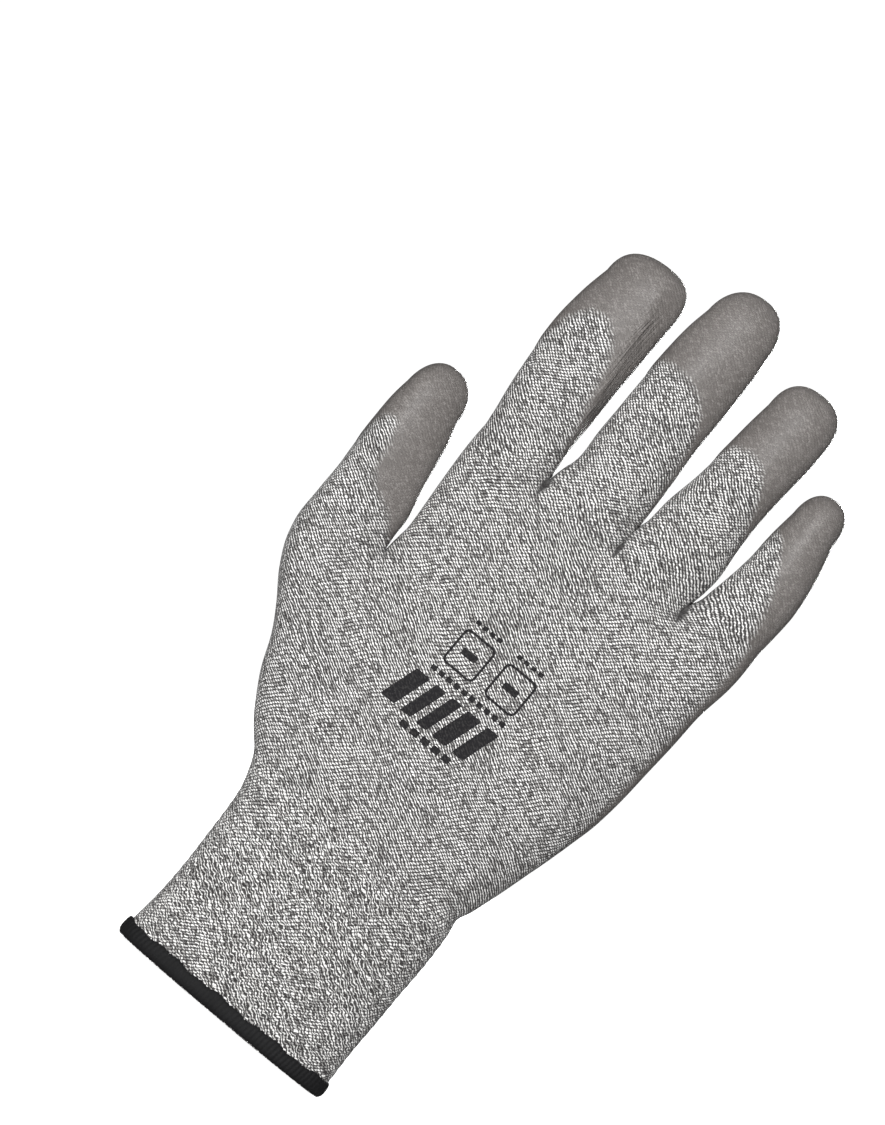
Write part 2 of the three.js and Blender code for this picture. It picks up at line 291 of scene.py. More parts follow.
def digit_columns(left, right, depth, skew=0.0):
    """Columns over the front of one digit. Its crest may lie to the left of its middle."""
    t = np.linspace(0, np.pi, COLUMNS + 1)
    x = (left + right) / 2 - (right - left) / 2 * (np.cos(t) + skew * np.sin(t) ** 2)
    h = depth * np.sin(t).clip(0) ** (2 / DIGIT_POWER)
    h[0] = h[-1] = 0.0
    return x, h


def finger_lines(z):
    """Where the lines between the fingers lie at that height."""
    share = smooth((z - 50) / 90)
    return [a + (b - a) * share for a, b in zip(FINGER_LINES_CUFF, FINGER_LINES_PALM)]


def web(share, left_inner, right_inner):
    """How far a digit has opened into the palm, column by column: quickly beside a crotch, and
    slowly along the middle of the digit."""
    place = np.linspace(-1, 1, COLUMNS + 1)
    near = np.where(place < 0, left_inner, right_inner) * np.abs(place) ** 2.5
    share = min(share, 1)
    quick = 1 - (1 - min(share * 1.4, 1)) ** 1.3
    return smooth(share) * (1 - near) + quick * near


def palm_row(z, left):
    """The four fingers' columns below their crotches."""
    xs, hs = arc_columns(left, *values_at(PALM, z, 2), finger_lines(z))
    below = FINGER_CROTCH - z
    if below < FINGER_WEB:
        for g, digit in enumerate(DIGITS[1:]):
            x, h = digit_columns(*OUTLINE[digit][0][1:4])
            xs[g] = x + (xs[g] - x) * smooth(below / FINGER_WIDEN)
            opened = web(below / FINGER_WEB, digit != "index", digit != "little")
            hs[g] = np.sqrt(h**2 + (hs[g] ** 2 - h**2) * opened)
    return xs, hs


def low_row(z):
    """All five groups of columns below the thumb crotch."""
    line = float(curve(THUMB_LINE, z))
    hand = values_at(HAND, z)
    whole_x, whole_h = arc_columns(*hand, [line, *finger_lines(z)])
    below = THUMB_CROTCH - z
    if below > THUMB_WEB:
        return whole_x, whole_h
    width = smooth(below / THUMB_WEB)
    thumb_x, thumb_h = digit_columns(hand[0], line, float(curve(THUMB_DEPTH, z)), SKEW["thumb"])
    xs, hs = arc_columns(line, *hand[1:], finger_lines(z))
    if below < SAME:
        xs, hs = palm_row(z, line)
    x = np.vstack([thumb_x, xs])
    h = np.vstack([thumb_h, hs])
    x = x + (whole_x - x) * width
    opened = [web(below / THUMB_WEB, 0, 1), web(below / THUMB_WEB, 1, 0)] + [width] * 3
    for g, share in enumerate(opened):
        h[g] = np.sqrt(h[g] ** 2 + (whole_h[g] ** 2 - h[g] ** 2) * share)
    return x, h


def spread(stops):
    """Heights from the first stop to the last, through each of them, about one step apart."""
    out = [stops[0]]
    for a, b in zip(stops[:-1], stops[1:]):
        out += list(np.linspace(a, b, max(2, round((b - a) / STEP)) + 1)[1:])
    return out


def halfway(bends):
    """The heights midway between two bending lines, where the pieces of a digit meet."""
    return [(a + b) / 2 for a, b in zip(bends[:-1], bends[1:])]


def digit_rows(digit):
    """x, half depth, palmar offset, height and knit length of each row above the crotch."""
    outline = OUTLINE[digit]
    tip, dome, power, lean = TIPS[digit]
    start, base = outline[0][0], outline[-1][0]
    rows = []
    for z in spread([start, start + 0.5, start + 2, *halfway(BENDS[digit]), base]):
        *section, y = values_at(outline, z)
        x, h = digit_columns(*section, SKEW.get(digit, 0.0))
        rows.append((x, h, np.full(len(x), y), np.full(len(x), z), z))
    # The dome of the tip starts from the last row's x, h and y.
    centre = (x[0] + x[-1]) / 2
    for turn in np.linspace(0, np.pi / 2, DOME_ROWS + 1)[1:]:
        rise = math.sin(turn)
        shrink = max(1 - rise**power, 0) ** (1 / power)
        middle = centre + lean * (1 - shrink)
        flat_y, flat_z = (y + DOME_OFFSET * rise, base + (tip - base) * rise)
        place = (middle + (x - centre) * shrink, h * shrink)
        rows.append((*place, np.full(len(x), flat_y), np.full(len(x), flat_z), base + dome * turn))
    return rows


def side_share(digit, z):
    """How much of a digit's left and right side counts in its knit coordinate: none beside a
    crotch, so that the wales run straight up from the palm into the digit."""
    from_thumb = float(smooth((z - THUMB_CROTCH) / SIDES_COUNT))
    from_finger = float(smooth((z - FINGER_CROTCH) / SIDES_COUNT))
    if digit == "thumb":
        return 1.0, from_thumb
    left = from_thumb if digit == "index" else from_finger
    return left, (1.0 if digit == "little" else from_finger)


def knit_steps(digit, x, h, z):
    """Length in the knit between one column and the next."""
    left, right = side_share(digit, z)
    share = np.where(np.arange(COLUMNS) < COLUMNS // 2, left, right)
    return np.hypot(np.diff(x), np.diff(h) * share)


def across(row, digits):
    """Knit coordinate across a row of the palm, from the middle finger's centre line."""
    z, x, h = row
    u = np.zeros_like(x)
    reached = 0.0
    for g, digit in enumerate(digits):
        u[g] = reached + np.concatenate([[0], np.cumsum(knit_steps(digit, x[g], h[g], z))])
        reached = u[g, -1]
    return u - u[digits.index("middle"), COLUMNS // 2]


def digit_across(digit, rows, middle):
    """Knit coordinate across the rows of a digit, from its own centre line."""
    u = []
    for x, h, _, z, _ in rows:
        along = np.concatenate([[0], np.cumsum(knit_steps(digit, x, h, z[0]))])
        u.append(along - along[COLUMNS // 2] + middle)
    # Over the dome of the tip the wales close in together, down to this share of their width.
    least = 0.75
    width = u[0][-1] - u[0][0]
    narrow = [line[-1] - line[0] < least * width for line in u]
    narrowest = middle + (u[0] - middle) * least
    return np.array([narrowest if n else line for n, line in zip(narrow, u)])


def flat_row(row, g):
    """One group's columns of a row of the palm, in the form that digit_rows gives."""
    z, x, h = row
    return x[g], h[g], 0 * x[g], 0 * x[g] + z, z


class Skin:
    """The outer skin as welded points, each with its knit coordinate (uv), its distance into the
    coating (film) and above the coating's lower edge (low). A face's label is its digit, its
    height in the knit, and whether it lies on the palm side."""

    def __init__(self):
        self.points, self.uv, self.faces, self.label, self.film, self.low = [], [], [], [], [], []
        self.build()
        self.weld()

    def sheet(self, digit, rows, u):
        """Adds the front and the back of one group of columns."""
        x, h, y, z = [np.array([row[k] for row in rows]) for k in range(4)]
        v = np.array([row[4] for row in rows])[:, None] + 0 * x
        u = u + BIAS * (v.clip(BIAS_FROM, BIAS_TO) - BIAS_FROM)
        high, wide = x.shape
        for sign in (-1, 1):
            first = len(self.points)
            block = np.stack([x, y + sign * h, z], axis=-1).reshape(-1, 3)
            self.points.extend(block.tolist())
            self.uv.extend(np.stack([u, v], axis=-1).reshape(-1, 2).tolist())
            self.film.extend(bare_distance(digit, x, h, z, v, sign).reshape(-1).tolist())
            self.low.extend((z - low_edge(x)).clip(-5, 60).reshape(-1).tolist())
            for r, k in np.ndindex(high - 1, wide - 1):
                a = first + r * wide + k
                quad = [a, a + 1, a + wide + 1, a + wide]
                self.faces.append(quad if sign < 0 else quad[::-1])
                self.label.append((digit, (v[r, k] + v[r + 1, k]) / 2, sign > 0))

    def build(self):
        """Cuff and hand up to the thumb crotch, the palm above it, then the digits."""
        low = [(z, *low_row(z)) for z in spread([0, CUFF_END, PALM_START, THUMB_CROTCH])]
        high = []
        for z in spread([THUMB_CROTCH, FINGER_CROTCH - 2, FINGER_CROTCH - 0.5, FINGER_CROTCH]):
            high.append((z, *palm_row(z, float(curve(PALM, z, 1)))))
        low_u = [across(row, DIGITS) for row in low]
        high_u = [across(row, DIGITS[1:]) for row in high]
        for g, digit in enumerate(DIGITS):
            rows = [flat_row(r, g) for r in low]
            self.sheet(digit, rows, np.array([u[g] for u in low_u]))
            last_u = low_u[-1][g]
            if digit != "thumb":
                rows = [flat_row(r, g - 1) for r in high]
                self.sheet(digit, rows, np.array([u[g - 1] for u in high_u]))
                last_u = high_u[-1][g - 1]
            rows = digit_rows(digit)
            self.sheet(digit, rows, digit_across(digit, rows, last_u[COLUMNS // 2]))

    def weld(self):
        """Joins the points that share a place."""
        points = np.array(self.points)
        _, first, inverse = np.unique(
            np.round(points, 3), axis=0, return_index=True, return_inverse=True
        )
        inverse = inverse.reshape(-1)
        self.points = points[first]
        self.uv = np.array(self.uv)[first]
        self.film = np.array(self.film)[first]
        self.low = np.array(self.low)[first]
        faces, labels = [], []
        for face, label in zip(self.faces, self.label):
            ring = []
            for i in inverse[face]:
                if i not in ring:
                    ring.append(int(i))
            if len(ring) > 2:
                faces.append(ring)
                labels.append(label)
        self.faces, self.label = faces, labels

    def normals(self):
        """Outward normal of each point."""
        total = np.zeros_like(self.points)
        quads = np.array([f if len(f) == 4 else f + f[-1:] for f in self.faces])
        p = self.points[quads]
        cross = np.cross(p[:, 2] - p[:, 0], p[:, 3] - p[:, 1])
        for k in range(4):
            np.add.at(total, quads[:, k], cross)
        return total / np.linalg.norm(total, axis=1, keepdims=True).clip(1e-12)


# ---- where the coating lies
def outline_distance(points, outline):
    """Distance of each point to a closed outline, negative inside."""
    ring = np.array(outline, float)
    a, b = ring, np.roll(ring, -1, axis=0)
    best = np.full(len(points), 1e9)
    inside = np.zeros(len(points), bool)
    for p, q in zip(a, b):
        d = q - p
        t = np.clip(((points - p) @ d) / (d @ d), 0, 1)
        best = np.minimum(best, np.hypot(*(points - p - t[:, None] * d).T))
        crosses = (p[1] > points[:, 1]) != (q[1] > points[:, 1])
        where = p[0] + (points[:, 1] - p[1]) * d[0] / (d[1] if d[1] else 1e-9)
        inside ^= crosses & (points[:, 0] < where)
    return np.where(inside, -best, best)


def unrolled(digit, x, z):
    """The share of the way across the front, 0 to 1, of a place, and on past both edges."""
    left, right = [curve(OUTLINE[digit], z, k) for k in (1, 2)]
    centre, half = (left + right) / 2, (right - left) / 2
    inner = np.arccos(np.clip((centre - x) / half, -1, 1)) / np.pi
    beyond = np.clip(left - x, 0, None) - np.clip(x - right, 0, None)
    return inner - beyond / UNROLLED_WIDTH


def low_edge(x):
    """Lower edge of the coating on the palm."""
    return 57.5 + 5.0 * ((x + 2) / 40) ** 2 + 0.8 * np.sin(x / 6.0) + 0.4 * np.sin(x / 2.3 + 1)


def bare_distance(digit, x, h, z, v, sign):
    """Distance into the coating: positive where coated, negative on bare knit."""
    columns = np.arange(COLUMNS + 1)[None, :] / COLUMNS + 0 * x
    crotch = OUTLINE[digit][0][0]
    if z.min() >= crotch - SAME:
        arc = FRONT_ARC[digit]
        ring = [(unrolled(digit, px, pz) * arc, pz) for px, pz in BARE[digit]]
        out = np.full(x.size, 1e9)
        for c in [columns * arc] if sign < 0 else [-columns * arc, (2 - columns) * arc]:
            out = np.minimum(out, outline_distance(np.stack([c.ravel(), v.ravel()], axis=1), ring))
        out = out.reshape(x.shape)
        if sign > 0:
            # The palm side is coated right up to the crotches.
            right = smooth(columns * 2 - 1) * (digit != "little")
            left = smooth(1 - columns * 2) * (digit in ("middle", "ring", "little"))
            out = np.maximum(out, 5 * np.maximum(left, right) * smooth(1 - (z - crotch) / 9))
        return np.clip(out, -FILM_REACH, FILM_REACH)
    above_thumb = z.min() >= THUMB_CROTCH - SAME
    from_left = from_right = np.full(x.shape, OUT_OF_REACH)
    steps = np.hypot(np.diff(x, axis=1), np.diff(h, axis=1))
    along = np.concatenate([np.zeros((len(x), 1)), np.cumsum(steps, axis=1)], axis=1)
    if digit == "thumb" or (digit == "index" and above_thumb):
        from_left = along
    if digit == "little":
        from_right = along[:, -1:] - along
    wrapped = np.maximum(curve(WRAP_LEFT, z) - from_left, curve(WRAP_RIGHT, z) - from_right)
    if sign > 0:
        joined = 5 * smooth(1 - (z - THUMB_CROTCH) / 10) * above_thumb
        wrapped = np.minimum(
            from_left + curve(WRAP_LEFT, z) + joined, from_right + curve(WRAP_RIGHT, z)
        )
    return np.clip(np.minimum(wrapped, z - low_edge(x)), -FILM_REACH, FILM_REACH)


# ---- the shape's unevenness
def index_crease(x, z):
    """Distance past the line where the back of the index finger turns into its side."""
    return x + 32.6 - 0.144 * (220 - z)


def shape_skin(skin):
    """Moves the smooth skin into the shape of a used, unevenly filled glove."""
    p = skin.points
    # The crotch beside the little finger is lower than the others.
    x, y, z = p.T
    z -= 2.2 * np.exp(-(((x - 26) / 8) ** 2)) * np.exp(-(((z - FINGER_CROTCH) / 9) ** 2))
    # The thumb lies a little towards the palm.
    y += 2.0 * smooth((-x - 28) / 28) * smooth((z - 66) / 50)
    normal = skin.normals()
    back = smooth((0.3 - normal[:, 1]) / 0.6)
    # Elastic courses of the cuff, soft swellings of the fabric and small dents.
    cuff = 1 - smooth((z - 50) / 12)
    ripple = np.sin(2 * np.pi * z / 3.4 + 0.9 * np.sin(x / 11) + 0.5 * np.sin(y / 3))
    lift = 0.10 * cuff * ripple * (0.6 + 0.4 * waves(p, 30, 5))
    lift += 0.38 * waves(p, 34, 11) * (1 - 0.5 * cuff)
    lift += 0.16 * waves(p, 13, 23)
    # The step where the palm widens out of the cuff.
    lift -= (0.45 + 0.5 * smooth((x - 16) / 14)) * np.exp(-(((z - 60) / 2.6) ** 2))
    # The crease where the back of the index finger turns into its side.
    crease = index_crease(x, z)
    inward = crease.clip(0, 6.5)
    ridge = 0.35 * np.exp(-((crease / 1.3) ** 2)) - 0.5 * inward * (1 - inward / 6.5)
    lift += ridge * smooth((z - 172) / 12) * smooth((227 - z) / 8) * back * (x < -22)
    # Slits in the fabric that run on below the crotches.
    for place, crotch in zip(finger_lines(z), CROTCHES):
        below = crotch - z
        slit = smooth((7 - below) / 6) * smooth(below / 1.5) * normal[:, 1] ** 2
        lift -= 2.2 * np.exp(-((x - place) ** 2)) * slit
    skin.points = p + normal * lift[:, None]


def shaded_fold_places(skin):
    """The folds where two fingers meet on the back, which get painted shade: each one's two ends
    in the knit coordinate.
    """
    x, y, z = skin.points.T
    places, far = [], 99
    for k, crotch in enumerate(CROTCHES):
        ends = []
        for height in (crotch + 0.5, crotch - 5.5):
            off = np.hypot(x - finger_lines(height)[k], z - height) + far * (y > 2)
            ends.append(skin.uv[np.argmin(off)].tolist())
        places.append(ends)
    return places


# ---- pieces
def new_mesh(name, material, points, faces, normals=None, uv=None, back=None, extra=None):
    """A smooth mesh object from millimetre points, with its knit coordinate and other values."""
    mesh = bpy.data.meshes.new(name)
    mesh.materials.append(material)
    mesh.from_pydata((np.asarray(points) * MM).tolist(), [], [list(map(int, f)) for f in faces])
    mesh.polygons.foreach_set("use_smooth", [True] * len(mesh.polygons))
    if uv is not None:
        layer = mesh.uv_layers.new(name="knit")
        corner = np.zeros(len(mesh.loops), int)
        mesh.loops.foreach_get("vertex_index", corner)
        values = np.asarray(uv, float)[corner]
        if back is not None:
            sizes = [len(f) for f in faces]
            values[:, 0] += BACK_SHIFT * np.repeat(np.asarray(back, float), sizes)
        layer.data.foreach_set("uv", values.astype(np.float32).ravel())
    for key, values in (extra or {}).items():
        made = mesh.attributes.new(key, "FLOAT", "POINT")
        made.data.foreach_set("value", np.asarray(values, np.float32))
    if normals is not None:
        mesh.normals_split_custom_set_from_vertices(np.asarray(normals).tolist())
    mesh.update()
    made = bpy.data.objects.new(name, mesh)
    bpy.context.scene.collection.objects.link(made)
    return made


def bands(rows, count):
    """The faces between closed rows of points, with so many points in each row."""
    faces = []
    for j in range(rows - 1):
        for i in range(count):
            a, b = j * count + i, j * count + (i + 1) % count
            faces.append([a, a + count, b + count, b])
    return faces


def walled(points, faces, normals, thickness):
    """The same skin with an inner wall and closed rims."""
    count = len(points)
    inner = points - normals * thickness
    out = [list(f) for f in faces] + [[i + count for i in f[::-1]] for f in faces]
    edges = {}
    for f in faces:
        for a, b in zip(f, f[1:] + f[:1]):
            if (b, a) in edges:
                del edges[(b, a)]
            else:
                edges[(a, b)] = True
    out += [[b, a, a + count, b + count] for a, b in edges]
    return np.vstack([points, inner]), out, np.vstack([normals, -normals])


def picked(skin, normals, chosen):
    """The part of the skin with the chosen faces, renumbered."""
    used = sorted({i for f in chosen for i in f})
    new = {old: k for k, old in enumerate(used)}
    faces = [[new[i] for i in f] for f in chosen]
    return skin.points[used], faces, normals[used], skin.uv[used], skin.film[used], skin.low[used]


def clipped(values, faces, depth):
    """The part of a piece where depth is positive, cut along its smooth edge. Each row of values
    is a point's. Also says which face each remaining face was."""
    rows = list(values)
    cuts, out, was = {}, [], []
    for n, f in enumerate(faces):
        inside = [depth[i] > 0 for i in f]
        if not any(inside):
            continue
        ring = []
        for k, i in enumerate(f):
            j = f[(k + 1) % len(f)]
            if inside[k]:
                ring.append(i)
            if inside[k] != inside[(k + 1) % len(f)]:
                key = (min(i, j), max(i, j))
                if key not in cuts:
                    t = depth[key[0]] / (depth[key[0]] - depth[key[1]])
                    cuts[key] = len(rows)
                    rows.append(values[key[0]] * (1 - t) + values[key[1]] * t)
                ring.append(cuts[key])
        if len(ring) > 2:
            out.append(ring)
            was.append(n)
    used = sorted({i for f in out for i in f})
    new = {old: k for k, old in enumerate(used)}
    rows = np.array(rows)[used] if used else np.zeros((0, values.shape[1]))
    return rows, [[new[i] for i in f] for f in out], was


def unit(vectors):
    """Each vector at length 1."""
    return vectors / np.linalg.norm(vectors, axis=1, keepdims=True)


def film_piece(name, part, back):
    """The coating over one part of the skin: thin at its edge, full a few millimetres in."""
    points, faces, normals, uv, film, low = part
    values = np.column_stack([points, normals, uv, film, low])
    rows, faces, was = clipped(values, faces, film)
    if not faces:
        return None
    depth = rows[:, 8].clip(0)
    normals = unit(rows[:, 3:6])
    thickness = FILM_EDGE + (FILM - FILM_EDGE) * smooth(depth / 2.4)
    points = rows[:, :3] + normals * thickness[:, None]
    x, _, z = points.T
    gather = np.exp(-(((index_crease(x, z) - 1.5) / 2.4) ** 2)) * (rows[:, 4] < 0.5)
    gather = gather * smooth((z - 172) / 10) * smooth((223 - z) / 10)
    extra = {"film": depth, "low": rows[:, 9], "gather": gather}
    was_back = [back[n] for n in was]
    return new_mesh(name, COATING, points, faces, normals, rows[:, 6:8], was_back, extra)


def region_of(label):
    """Which piece a face belongs to."""
    digit, height, _ = label
    if height > OUTLINE[digit][0][0]:
        return (digit, int(np.searchsorted(halfway(BENDS[digit]), height)))
    if height < CUFF_END:
        return ("cuff", 0)
    return ("wrist", 0) if height < PALM_START else ("palm", 0)


def digit_bodies(digit):
    """The bodies of a digit, from the palm out."""
    names = ["root", "tip"] if digit == "thumb" else ["root", "middle", "tip"]
    return ["palm"] + [digit + "_" + name for name in names]


def move_with(piece, region):
    """Attaches a cuff or palm piece of the skin to its body; wrist and digit pieces are left fixed
    where they are.
    """
    name, k = region
    if name == "cuff":
        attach(piece, "cuff")
    elif name == "palm":
        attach(piece, "palm")
    elif name == "wrist":
        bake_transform(piece)
    else:
        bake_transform(piece)


# ---- materials
class Nodes:
    """Small helper that builds a node tree line by line."""

    def __init__(self, name):
        self.material = bpy.data.materials.new(name)
        self.material.use_nodes = True
        self.tree = self.material.node_tree
        self.shader = self.tree.nodes["Principled BSDF"]

    def add(self, kind, **settings):
        node = self.tree.nodes.new("ShaderNode" + kind)
        for key, value in settings.items():
            setattr(node, key, value)
        return node

    def feed(self, socket, value):
        if hasattr(value, "is_linked"):
            self.tree.links.new(value, socket)
        else:
            socket.default_value = value

    def node(self, kind, inputs, output=0, **settings):
        """Adds a node, feeds its inputs by name or number, and gives one of its outputs."""
        node = self.add(kind, **settings)
        for key, value in inputs.items():
            self.feed(node.inputs[key], value)
        return node.outputs[output]

    def math(self, operation, a, b=0.0, c=0.0, clamp=False):
        return self.node("Math", {0: a, 1: b, 2: c}, operation=operation, use_clamp=clamp)

    def plus(self, a, b):
        return self.math("ADD", a, b)

    def minus(self, a, b):
        return self.math("SUBTRACT", a, b)

    def times(self, a, b, added=0.0):
        return self.math("MULTIPLY_ADD", a, b, added)

    def mix(self, share, a, b):
        """Between two colours."""
        return self.node("Mix", {0: share, 6: a, 7: b}, 2, data_type="RGBA")

    def ramp(self, value, low, high):
        """0 at low and 1 at high, smoothly; low may be the greater."""
        return self.node("MapRange", {0: value, 1: low, 2: high}, interpolation_type="SMOOTHSTEP")

    def noise(self, vector, scale, detail=2.0, rough=0.5):
        inputs = {"Vector": vector, "Scale": scale, "Detail": detail, "Roughness": rough}
        return self.node("TexNoise", inputs)

    def vector(self, x, y, z=0.0):
        return self.node("CombineXYZ", {0: x, 1: y, 2: z})

    def bump(self, height, distance, strength, normal=None):
        """Relief of that many metres, over the relief already there."""
        inputs = {"Strength": strength, "Distance": distance, "Height": height}
        if normal is not None:
            inputs["Normal"] = normal
        return self.node("Bump", inputs)

    def set(self, **values):
        for key, value in values.items():
            self.feed(self.shader.inputs[key.replace("_", " ")], value)


class Stitch:
    """The knit stitch in nodes. The legs of the stitches lie on a lattice, half a wale and half a
    course apart, and each shows as a short stroke of yarn that leans a little."""

    def __init__(self, n):
        self.uv = n.node("UVMap", {}, uv_map="knit")
        split = n.add("SeparateXYZ")
        n.feed(split.inputs[0], self.uv)
        u, v = self.u, self.v = split.outputs[0], split.outputs[1]
        # Slow drift and jitter, so that the wales and courses aren't ruled. The cuff is less even.
        cuff = n.ramp(v, 66.0, 54.0)
        drift = n.noise(self.uv, 0.07, 2.0)
        drift_v = n.noise(n.vector(v, u), 0.09, 2.0)
        jitter = n.minus(n.noise(self.uv, 0.65, 2.0), 0.5)
        jitter = n.times(jitter, n.times(cuff, 0.7, 0.6))
        wale = n.times(drift, 1.6, n.math("DIVIDE", u, WALE))
        wale = n.plus(jitter, wale)
        course = n.times(drift_v, 1.5, n.math("DIVIDE", v, COURSE))
        course = n.plus(jitter, course)
        one = n.minus(course, wale)
        other = n.plus(course, wale)
        off_one = n.minus(n.math("FRACT", one), 0.5)
        off_other = n.minus(n.math("FRACT", other), 0.5)
        cell = n.vector(n.math("FLOOR", one), n.math("FLOOR", other))
        self.chance = n.node("TexWhiteNoise", {"Vector": cell}, noise_dimensions="2D")
        self.other_chance = n.math("FRACT", n.times(self.chance, 37.0))
        # Place in the stroke: along it and across it, in millimetres.
        along = n.times(n.minus(off_other, off_one), WALE / 2)
        across = n.times(n.plus(off_other, off_one), COURSE / 2)
        lean = n.times(n.minus(n.noise(self.uv, 0.05, 2.0), 0.5), 1.5, -0.22)
        lean = n.times(n.minus(self.other_chance, 0.5), 0.4, lean)
        across = n.minus(across, n.times(lean, along))
        parts = []
        for part, half in ((along, STROKE_LENGTH), (across, STROKE_WIDTH)):
            part = n.math("ABSOLUTE", n.math("DIVIDE", part, half))
            parts.append(n.math("POWER", part, 2.0))
        reach = n.math("SQRT", n.plus(*parts))
        self.gap = n.ramp(reach, 0.56, 1.04)
        self.relief = n.minus(1.0, self.gap)
        self.fibre = n.noise(n.vector(n.times(one, 3.4), n.times(other, 3.4)), 1.0, 3.0, 0.65)


def knit_colour(n, st):
    """Salt and pepper: white, grey and nearly black strands, with painted shade between the
    stitches.
    """
    white = (0.96, 0.95, 0.935, 1)
    grey = (0.40, 0.39, 0.38, 1)
    black = (0.09, 0.086, 0.084, 1)
    dark = (0.020, 0.018, 0.018, 1)
    patch = n.noise(st.uv, 0.08, 3.0, 0.6)
    light = n.times(patch, 0.15, n.times(st.chance, 0.85))
    # Uneven courses over the wrist and the cuff.
    uneven = n.noise(n.vector(n.times(st.u, 0.09), n.times(st.v, 0.75)), 1.0, 2.0, 0.6)
    wrist = n.times(n.ramp(st.v, 96.0, 66.0), 0.9)
    light = n.times(n.minus(uneven, 0.5), wrist, light)
    colour = n.mix(n.ramp(light, 0.06, 0.46), grey, white)
    pepper = n.times(n.ramp(st.other_chance, 0.84, 0.90), 0.7)
    streak = n.times(n.ramp(st.fibre, 0.46, 0.30), 0.4)
    colour = n.mix(n.math("MAXIMUM", pepper, streak), colour, black)
    # Painted shade in the folds where two fingers meet: darker near those lines in the knit
    # coordinate.
    fold_and_shade = 0.0
    for (u0, v0), (u1, v1) in SHADED_FOLDS:
        du, dv = u1 - u0, v1 - v0
        pu, pv = n.minus(st.u, u0), n.minus(st.v, v0)
        t = n.math("DIVIDE", n.times(pu, du, n.times(pv, dv)), du**2 + dv**2, clamp=True)
        off_u, off_v = n.times(t, -du, pu), n.times(t, -dv, pv)
        off = n.math("SQRT", n.times(off_u, off_u, n.times(off_v, off_v)))
        fold_and_shade = n.math("MAXIMUM", fold_and_shade, n.ramp(off, 0.85, 0.15))
    # Painted shade between the stitches and in the folds, mixed towards the near-black colour.
    shade = n.math("MAXIMUM", n.times(st.gap, 0.95), n.times(fold_and_shade, 0.93))
    return n.mix(shade, colour, dark)


def knit_material():
    n = Nodes("knit")
    st = Stitch(n)
    height = n.times(st.fibre, 0.25, st.relief)
    n.set(Base_Color=knit_colour(n, st), Roughness=0.9, Normal=n.bump(height, 0.00032, 0.8))
    n.set(Sheen_Weight=0.12, Sheen_Roughness=0.5, Specular_IOR_Level=0.2)
    return n.material


def coating_material():
    n = Nodes("coating")
    st = Stitch(n)
    names = ("film", "low", "gather")
    film, low, gather = [n.node("Attribute", {}, "Fac", attribute_name=name) for name in names]
    ragged = n.times(n.noise(st.uv, 0.9, 4.0, 0.6), 2.4, -1.2)
    # The film thins out over its last millimetres, and over a few centimetres towards the wrist.
    edge = n.ramp(n.plus(film, ragged), 2.6, 0.2)
    fading = n.ramp(n.times(ragged, 2.2, low), 24.0, 0.0)
    thin = n.math("MAXIMUM", edge, fading)
    base = (0.168, 0.154, 0.146, 1)
    pale = (0.31, 0.29, 0.278, 1)
    deep = (0.050, 0.046, 0.043, 1)
    cloud = n.noise(st.uv, 0.05, 4.0, 0.55)
    colour = n.mix(n.ramp(cloud, 0.3, 0.75), base, n.mix(0.22, base, pale))
    grain = n.noise(st.uv, 2.9, 2.0, 0.75)
    spot = n.ramp(n.times(st.chance, 0.24, grain), 0.56, 0.82)
    colour = n.mix(n.times(spot, 0.75), colour, pale)
    speck = n.times(n.ramp(grain, 0.5, 0.32), 0.75)
    # Dark specks in the film, and painted shade in the hollows between the stitches.
    colour = n.mix(n.math("MAXIMUM", speck, n.times(st.gap, 0.3)), colour, deep)
    colour = n.mix(n.times(thin, 0.8), colour, knit_colour(n, st))
    height = n.times(st.relief, n.times(thin, 0.6, 0.4))
    # Long gathers along the side of the index finger, with painted shade in their troughs.
    stretched = n.vector(n.times(st.u, 1.1), n.times(st.v, 0.05))
    fold_and_shade = n.times(n.noise(stretched, 1.0, 2.0, 0.6), 4.0, -2.0)
    fold_and_shade = n.times(fold_and_shade, gather)
    colour = n.mix(n.ramp(fold_and_shade, 0.0, -0.9), colour, n.mix(0.5, colour, deep))
    normal = n.bump(height, 0.00019, 0.8)
    normal = n.bump(grain, 0.00008, 0.8, normal)
    normal = n.bump(fold_and_shade, 0.0003, 0.9, normal)
    rough = n.times(thin, 0.3, n.times(cloud, 0.12, 0.36))
    n.set(Base_Color=colour, Roughness=rough, Normal=normal, Specular_IOR_Level=0.28)
    return n.material


def thread_material(name, colour):
    """Twisted thread, laid side by side."""
    n = Nodes(name)
    place = n.node("TexCoord", {}, "Object")
    fibre = n.noise(place, 2200.0, 3.0, 0.6)
    patch = n.noise(place, 160.0, 2.0)
    lighter = tuple(min(c * 2.2 + 0.004, 1) for c in colour[:3]) + (1,)
    share = n.times(fibre, 0.6, n.times(patch, 0.25))
    n.set(Base_Color=n.mix(n.ramp(share, 0.3, 0.8), colour, lighter), Roughness=0.75)
    n.set(Normal=n.bump(fibre, 0.00006, 0.7), Specular_IOR_Level=0.25)
    return n.material


def ink_material():
    n = Nodes("print")
    st = Stitch(n)
    worn = n.ramp(n.times(st.relief, -0.1, n.noise(st.uv, 1.2, 4.0, 0.6)), 0.44, 0.58)
    colour = n.mix(worn, (0.008, 0.0075, 0.009, 1), (0.028, 0.027, 0.027, 1))
    n.set(Base_Color=colour, Roughness=0.7, Normal=n.bump(st.relief, 0.0001, 0.5))
    n.set(Specular_IOR_Level=0.2)
    return n.material


HEM_THREAD = thread_material("hem_thread", (0.005, 0.005, 0.0055, 1))
YARN = thread_material("elastic_yarn", (0.55, 0.54, 0.52, 1))
INK = ink_material()


# ---- knit and coating
skin = Skin()
shape_skin(skin)
skin_normals = skin.normals()
SHADED_FOLDS = shaded_fold_places(skin)
KNIT = knit_material()
COATING = coating_material()
regions = {}
for face, label in zip(skin.faces, skin.label):
    regions.setdefault(region_of(label), []).append((face, label[2]))

